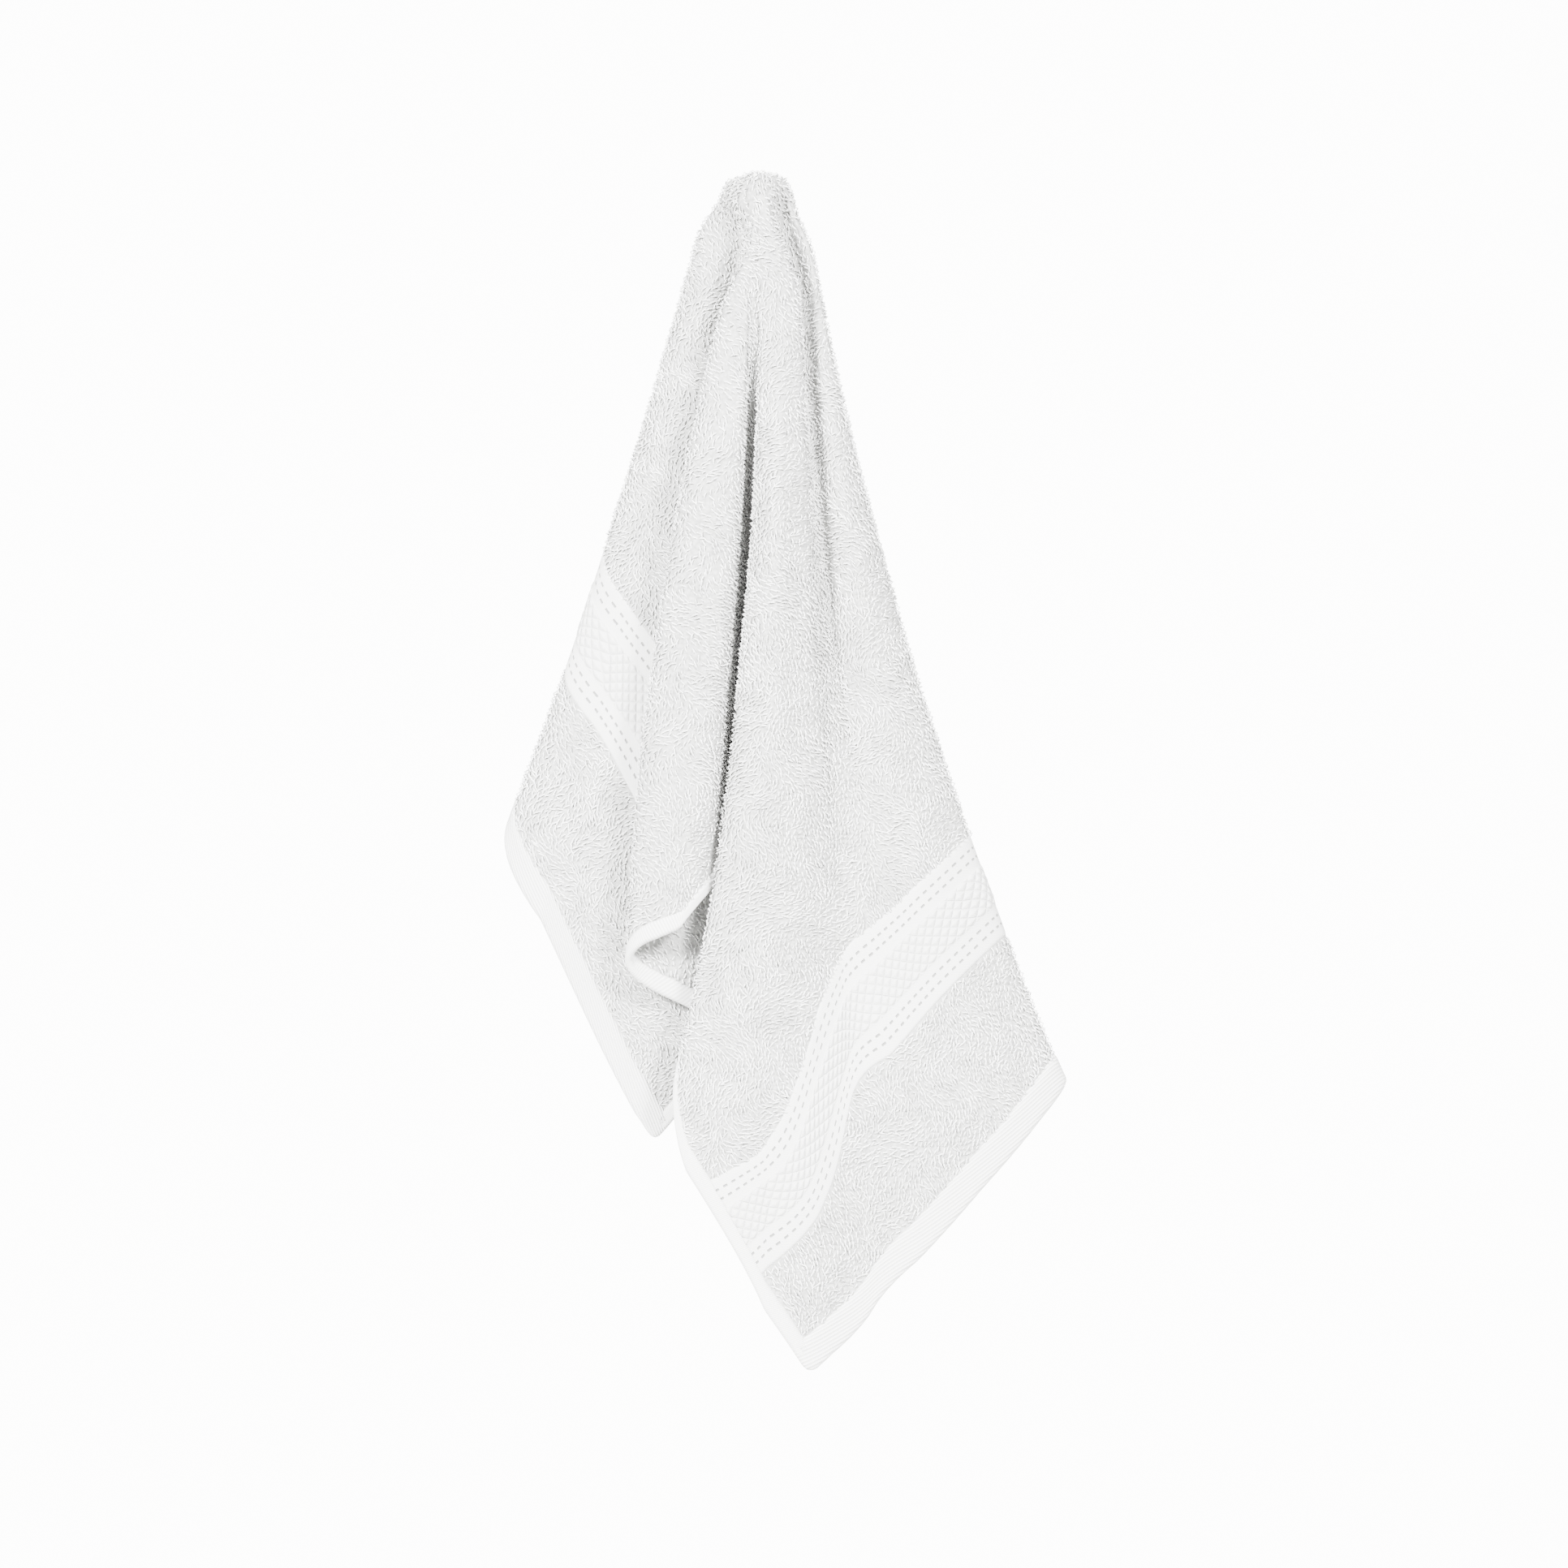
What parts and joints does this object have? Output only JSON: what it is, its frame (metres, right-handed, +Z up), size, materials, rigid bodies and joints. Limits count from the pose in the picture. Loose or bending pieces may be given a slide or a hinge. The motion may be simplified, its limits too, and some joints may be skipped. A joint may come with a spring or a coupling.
{
  "type": "hand towel",
  "caption": "Off-white cotton terry hand towel hanging in deep folds from one point near its middle, with a woven border near each end.",
  "frame": {"origin": "underside of the cloth at the point where it hangs on the peg", "axes": "+Z up, the way the towel hangs; the side seen in the picture faces -Y; +X to the right in the picture"},
  "size_m": [0.2069, 0.0752, 0.4416],
  "materials": {
    "towel": "matt cotton terry"
  },
  "bodies": {
    "root": {"towel": "towel"}
  },
  "joints": []
}
